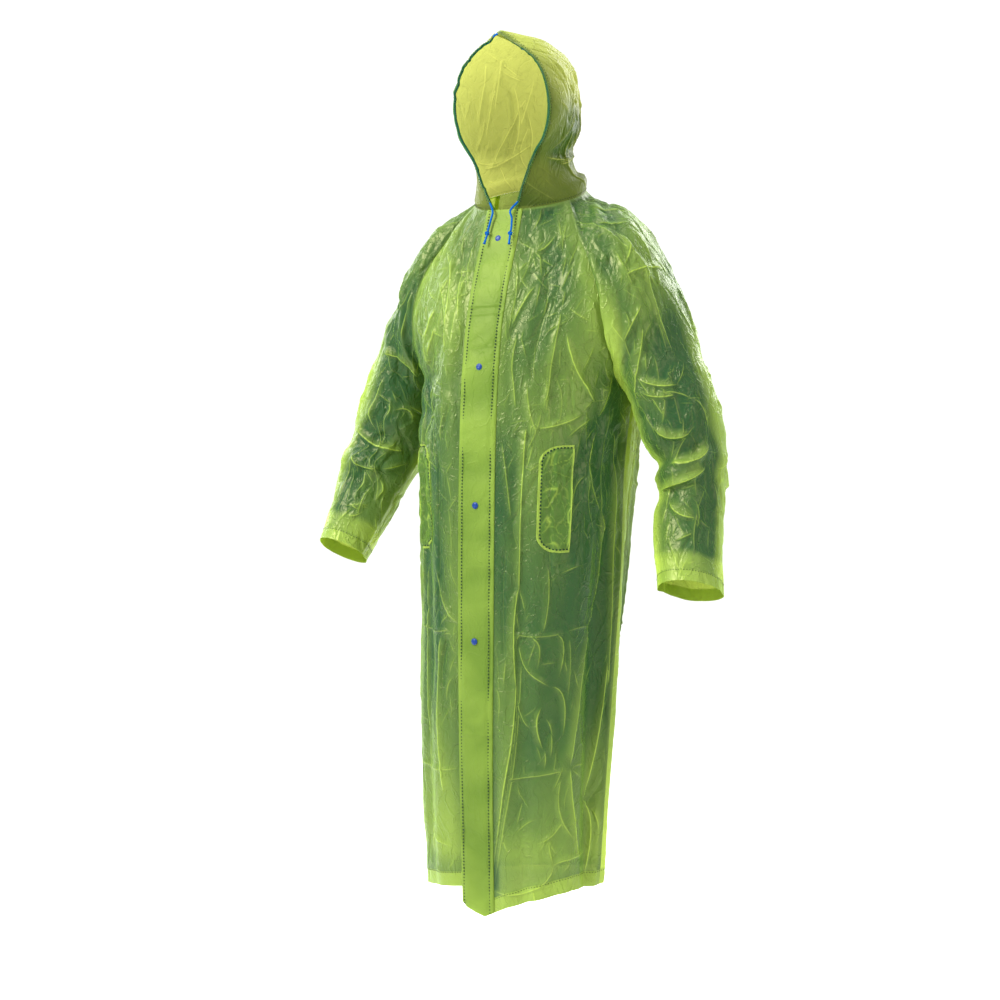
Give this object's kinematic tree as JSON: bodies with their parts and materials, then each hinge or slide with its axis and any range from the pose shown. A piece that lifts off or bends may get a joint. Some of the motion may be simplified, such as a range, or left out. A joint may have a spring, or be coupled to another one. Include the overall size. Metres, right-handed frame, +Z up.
{
  "type": "hooded raincoat",
  "caption": "Calf-long hooded raincoat of thin translucent yellow-green film, worn and hollow, with raglan sleeves, a snapped front strip, patch pockets and a hood drawcord.",
  "frame": {"origin": "middle of the shoulder line, between the tops of the shoulders, where the wearer holds the coat up", "axes": "+Z up, the front faces -Y, +X is the wearer's left"},
  "size_m": [0.7717, 0.3582, 1.5251],
  "materials": {
    "film": "gloss",
    "film_single": "gloss",
    "film_strip": "gloss",
    "snap": "gloss",
    "cord": "woven"
  },
  "bodies": {
    "root": {"front_left": "film", "front_right": "film", "back": "film", "sleeve_left": "film", "sleeve_right": "film", "sleeve_right_lower": "film", "hood_left": "film_single", "hood_right": "film_single", "placket": "film_strip", "pocket_left": "film_strip", "pocket_right": "film_strip", "snap_1": "snap", "snap_2": "snap", "snap_3": "snap", "snap_4": "snap", "drawcord": "cord", "drawcord_end_left": "cord", "drawcord_end_right": "cord", "drawcord_knot_left": "cord", "drawcord_knot_right": "cord"}
  },
  "joints": []
}
